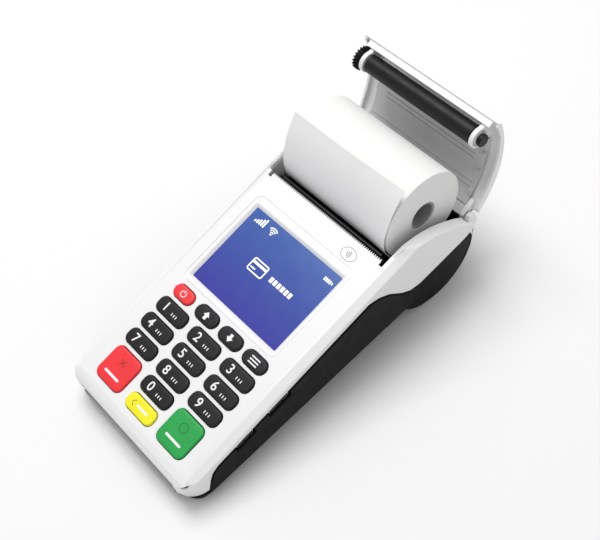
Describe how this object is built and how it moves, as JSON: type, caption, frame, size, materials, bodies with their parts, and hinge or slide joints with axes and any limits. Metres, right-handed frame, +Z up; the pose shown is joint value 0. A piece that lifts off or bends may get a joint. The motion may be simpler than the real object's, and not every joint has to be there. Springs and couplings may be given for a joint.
{
  "type": "card payment terminal with receipt printer",
  "caption": "Hand-held card payment terminal with keypad, colour display and card slot; clamshell printer cover open, paper roll lifted half out of its well.",
  "frame": {"origin": "centre of the footprint on the plane the feet stand on", "axes": "+X to the right of the keypad as a user reads it, +Y from the card slot towards the printer, +Z up"},
  "size_m": [0.0756, 0.1672, 0.0757],
  "materials": {
    "white_shell": "glossy moulded plastic",
    "black_shell": "fine moulded texture",
    "tear_bar": "satin",
    "display_glass": "polished liquid crystal display, backlit blue",
    "steel": "plated",
    "circuit_board": "solder mask over glass fibre board",
    "pale_rubber": "moulded silicone",
    "key_dark": "satin",
    "key_red": "satin",
    "key_yellow": "satin",
    "key_green": "satin",
    "battery": "satin sleeve",
    "copper": "copper on film",
    "head_ceramic": "glazed heater strip",
    "gear_pale": "acetal",
    "gear_black": "acetal",
    "liner_grey": "satin",
    "black_rubber": "ground rubber",
    "foot_rubber": "matt",
    "paper": "smooth thermal paper",
    "core_card": "smooth"
  },
  "bodies": {
    "case": {"top_case": "white_shell", "lower_case": "black_shell", "display_bezel": "white_shell", "lcd_panel": "display_glass", "lcd_backing": "steel", "keypad_mat": "pale_rubber", "keypad_board": "circuit_board", "chip_card_reader": "black_shell", "main_board": "circuit_board", "battery_pack": "battery", "battery_door": "black_shell", "usb_port": "steel", "power_port": "steel", "speaker": "black_shell", "contactless_antenna": "copper", "tear_bar": "tear_bar", "print_head": "head_ceramic", "print_head_frame": "black_shell", "stepper_motor": "steel", "reduction_pin": "steel", "case_screw_1": "steel", "case_screw_2": "steel", "case_screw_3": "steel", "case_screw_4": "steel", "foot_front_left": "foot_rubber", "foot_front_right": "foot_rubber", "foot_rear": "foot_rubber"},
    "cover": {"cover_shell": "white_shell", "cover_liner": "liner_grey", "platen_bushing_left": "white_shell", "platen_bushing_right": "white_shell", "hinge_pin_left": "steel", "hinge_pin_right": "steel"},
    "platen": {"platen_shaft": "steel", "platen_roller": "black_rubber", "platen_end_cap": "gear_black", "platen_gear": "gear_black"},
    "drive_pinion": {"motor_shaft": "steel", "motor_pinion": "gear_pale"},
    "reduction": {"reduction_gear": "gear_pale"},
    "paper_carrier": {"paper_core": "core_card", "paper_tail": "paper"},
    "paper_coil": {"paper_roll": "paper"},
    "key_0_cap": {"key_0": "key_dark"},
    "key_1_cap": {"key_1": "key_dark"},
    "key_2_cap": {"key_2": "key_dark"},
    "key_3_cap": {"key_3": "key_dark"},
    "key_4_cap": {"key_4": "key_dark"},
    "key_5_cap": {"key_5": "key_dark"},
    "key_6_cap": {"key_6": "key_dark"},
    "key_7_cap": {"key_7": "key_dark"},
    "key_8_cap": {"key_8": "key_dark"},
    "key_9_cap": {"key_9": "key_dark"},
    "key_clear_cap": {"key_clear": "key_yellow"},
    "key_cancel_cap": {"key_cancel": "key_red"},
    "key_enter_cap": {"key_enter": "key_green"},
    "key_power_cap": {"key_power": "key_red"},
    "key_f1_cap": {"key_f1": "key_dark"},
    "key_f2_cap": {"key_f2": "key_dark"},
    "key_menu_cap": {"key_menu": "key_dark"}
  },
  "joints": [
    {"name": "cover_hinge", "type": "hinge", "parent": "case", "child": "cover", "pos_m": [0, 0.06719, 0.03174], "axis": [-1, 0, 0], "range_deg": [-88, 0]},
    {"name": "platen_spin", "type": "hinge", "parent": "cover", "child": "platen", "pos_m": [0, 0.07557, 0.06807], "axis": [1, 0, 0], "continuous": true},
    {"name": "reduction_spin", "type": "hinge", "parent": "case", "child": "reduction", "pos_m": [-0.032, 0.02814, 0.02982], "axis": [1, 0, 0], "continuous": true},
    {"name": "pinion_spin", "type": "hinge", "parent": "case", "child": "drive_pinion", "pos_m": [-0.032, 0.01937, 0.0247], "axis": [1, 0, 0], "continuous": true},
    {"name": "roll_drop", "type": "slide", "parent": "case", "child": "paper_carrier", "axis": [0, -0.0348, -0.9994], "range_m": [0, 0.02524], "deforming": ["paper_tail"]},
    {"name": "paper_spin", "type": "hinge", "parent": "paper_carrier", "child": "paper_coil", "pos_m": [0, 0.04719, 0.04762], "axis": [1, 0, 0], "continuous": true},
    {"name": "key_0_press", "type": "slide", "parent": "case", "child": "key_0_cap", "axis": [0, 0.2637, -0.9646], "range_m": [0, 0.0007], "stiffness_N_per_m": 500},
    {"name": "key_1_press", "type": "slide", "parent": "case", "child": "key_1_cap", "axis": [0, 0.2637, -0.9646], "range_m": [0, 0.0007], "stiffness_N_per_m": 500},
    {"name": "key_2_press", "type": "slide", "parent": "case", "child": "key_2_cap", "axis": [0, 0.2637, -0.9646], "range_m": [0, 0.0007], "stiffness_N_per_m": 500},
    {"name": "key_3_press", "type": "slide", "parent": "case", "child": "key_3_cap", "axis": [0, 0.2637, -0.9646], "range_m": [0, 0.0007], "stiffness_N_per_m": 500},
    {"name": "key_4_press", "type": "slide", "parent": "case", "child": "key_4_cap", "axis": [0, 0.2637, -0.9646], "range_m": [0, 0.0007], "stiffness_N_per_m": 500},
    {"name": "key_5_press", "type": "slide", "parent": "case", "child": "key_5_cap", "axis": [0, 0.2637, -0.9646], "range_m": [0, 0.0007], "stiffness_N_per_m": 500},
    {"name": "key_6_press", "type": "slide", "parent": "case", "child": "key_6_cap", "axis": [0, 0.2637, -0.9646], "range_m": [0, 0.0007], "stiffness_N_per_m": 500},
    {"name": "key_7_press", "type": "slide", "parent": "case", "child": "key_7_cap", "axis": [0, 0.2637, -0.9646], "range_m": [0, 0.0007], "stiffness_N_per_m": 500},
    {"name": "key_8_press", "type": "slide", "parent": "case", "child": "key_8_cap", "axis": [0, 0.2637, -0.9646], "range_m": [0, 0.0007], "stiffness_N_per_m": 500},
    {"name": "key_9_press", "type": "slide", "parent": "case", "child": "key_9_cap", "axis": [0, 0.2637, -0.9646], "range_m": [0, 0.0007], "stiffness_N_per_m": 500},
    {"name": "key_clear_press", "type": "slide", "parent": "case", "child": "key_clear_cap", "axis": [0, 0.2637, -0.9646], "range_m": [0, 0.0007], "stiffness_N_per_m": 500},
    {"name": "key_cancel_press", "type": "slide", "parent": "case", "child": "key_cancel_cap", "axis": [0, 0.2637, -0.9646], "range_m": [0, 0.0007], "stiffness_N_per_m": 500},
    {"name": "key_enter_press", "type": "slide", "parent": "case", "child": "key_enter_cap", "axis": [0, 0.2637, -0.9646], "range_m": [0, 0.0007], "stiffness_N_per_m": 500},
    {"name": "key_power_press", "type": "slide", "parent": "case", "child": "key_power_cap", "axis": [0, 0.2637, -0.9646], "range_m": [0, 0.0007], "stiffness_N_per_m": 500},
    {"name": "key_f1_press", "type": "slide", "parent": "case", "child": "key_f1_cap", "axis": [0, 0.2637, -0.9646], "range_m": [0, 0.0007], "stiffness_N_per_m": 500},
    {"name": "key_f2_press", "type": "slide", "parent": "case", "child": "key_f2_cap", "axis": [0, 0.2637, -0.9646], "range_m": [0, 0.0007], "stiffness_N_per_m": 500},
    {"name": "key_menu_press", "type": "slide", "parent": "case", "child": "key_menu_cap", "axis": [0, 0.2637, -0.9646], "range_m": [0, 0.0007], "stiffness_N_per_m": 500}
  ],
  "couplings": [
    {"joint": "cover_hinge", "follows": "roll_drop", "rad_per_m": -60.851},
    {"joint": "pinion_spin", "follows": "reduction_spin", "ratio": -2.6667}
  ]
}
